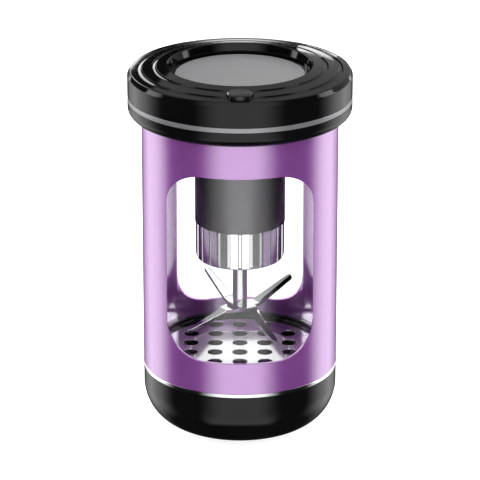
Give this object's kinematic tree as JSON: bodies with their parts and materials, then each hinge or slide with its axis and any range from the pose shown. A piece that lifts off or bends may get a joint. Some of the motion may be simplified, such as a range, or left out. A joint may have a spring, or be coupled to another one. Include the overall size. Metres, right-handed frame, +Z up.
{
  "type": "jar grinder",
  "caption": "Cordless jar grinder: glass chamber in a windowed metal sleeve, lift-off motor lid with crossed blades, lift-out sieve and a round base cup.",
  "frame": {"origin": "centre of the resting face under the base cup, on the table", "axes": "+Z up along the jar's axis; -Y is the front, where the power button is; +X to the right seen from the front"},
  "size_m": [0.0736, 0.0736, 0.125],
  "materials": {
    "black_gloss": "high gloss",
    "turned_black": "fine concentric rings",
    "rubber": "matte",
    "polished_steel": "mirror polished",
    "silicone": "satin",
    "purple_anodised": "satin anodised",
    "chrome": "mirror polished",
    "clear_glass": "clear",
    "grey_trim": "satin",
    "grey_badge": "satin",
    "screw_steel": "zinc plated",
    "circuit_board": "solder mask",
    "chip_black": "moulded",
    "socket_steel": "stamped",
    "battery_foil": "laminate foil",
    "foam": "foam",
    "wire_red": "insulated",
    "wire_black": "insulated",
    "housing_grey": "satin",
    "motor_steel": "ground",
    "magnet": "sintered",
    "end_cap_plastic": "moulded",
    "carbon": "carbon",
    "brass": "plated",
    "bronze": "sintered",
    "laminated_iron": "laminated",
    "copper": "enamelled"
  },
  "bodies": {
    "base": {"base_cup": "black_gloss", "base_foot": "rubber"},
    "sieve": {"sieve_plate": "polished_steel", "sieve_seal": "silicone"},
    "chamber": {"sleeve": "purple_anodised", "chrome_ring": "chrome", "lower_collar": "black_gloss", "lower_gasket": "silicone", "glass_tube": "clear_glass", "upper_gasket": "silicone", "upper_collar": "black_gloss"},
    "lid": {"lid_base": "black_gloss", "lid_seal": "silicone", "lid_band": "grey_trim", "lid_shell": "black_gloss", "lid_badge": "grey_badge", "lid_screws": "screw_steel", "circuit_board": "circuit_board", "control_chip": "chip_black", "drive_transistor": "chip_black", "power_switch": "chip_black", "usb_socket": "socket_steel", "battery_cell": "battery_foil", "battery_pad": "foam", "battery_leads": "wire_red", "motor_housing": "housing_grey", "housing_screws": "screw_steel", "motor_can": "motor_steel", "motor_magnets": "magnet", "motor_end_cap": "end_cap_plastic", "motor_brushes": "carbon", "motor_terminals": "brass", "motor_leads": "wire_black", "front_bushing": "bronze", "rear_bushing": "bronze", "motor_screws": "screw_steel", "fluted_collar": "chrome", "shaft_bushing": "bronze", "shaft_seal": "silicone"},
    "rotor": {"motor_shaft": "motor_steel", "rotor_core": "laminated_iron", "rotor_windings": "copper", "commutator": "copper", "thrust_washers": "screw_steel", "blade_shaft": "polished_steel", "upper_blade": "polished_steel", "lower_blade": "polished_steel", "blade_rivet": "polished_steel"},
    "button": {"power_button": "turned_black", "switch_plunger": "chip_black"}
  },
  "joints": [
    {"name": "sieve_lift", "type": "slide", "parent": "base", "child": "sieve", "axis": [0, 0, 1], "range_m": [0, 0.03]},
    {"name": "chamber_lift", "type": "slide", "parent": "sieve", "child": "chamber", "axis": [0, 0, 1], "range_m": [0, 0.03]},
    {"name": "lid_lift", "type": "slide", "parent": "chamber", "child": "lid", "axis": [0, 0, 1], "range_m": [0, 0.09]},
    {"name": "blade_spin", "type": "hinge", "parent": "lid", "child": "rotor", "pos_m": [0, 0, 0.0423], "axis": [0, 0, 1], "continuous": true},
    {"name": "button_press", "type": "slide", "parent": "lid", "child": "button", "axis": [0, 0, -1], "range_m": [0, 0.0005], "stiffness_N_per_m": 600, "springref_m": -0.0008}
  ]
}
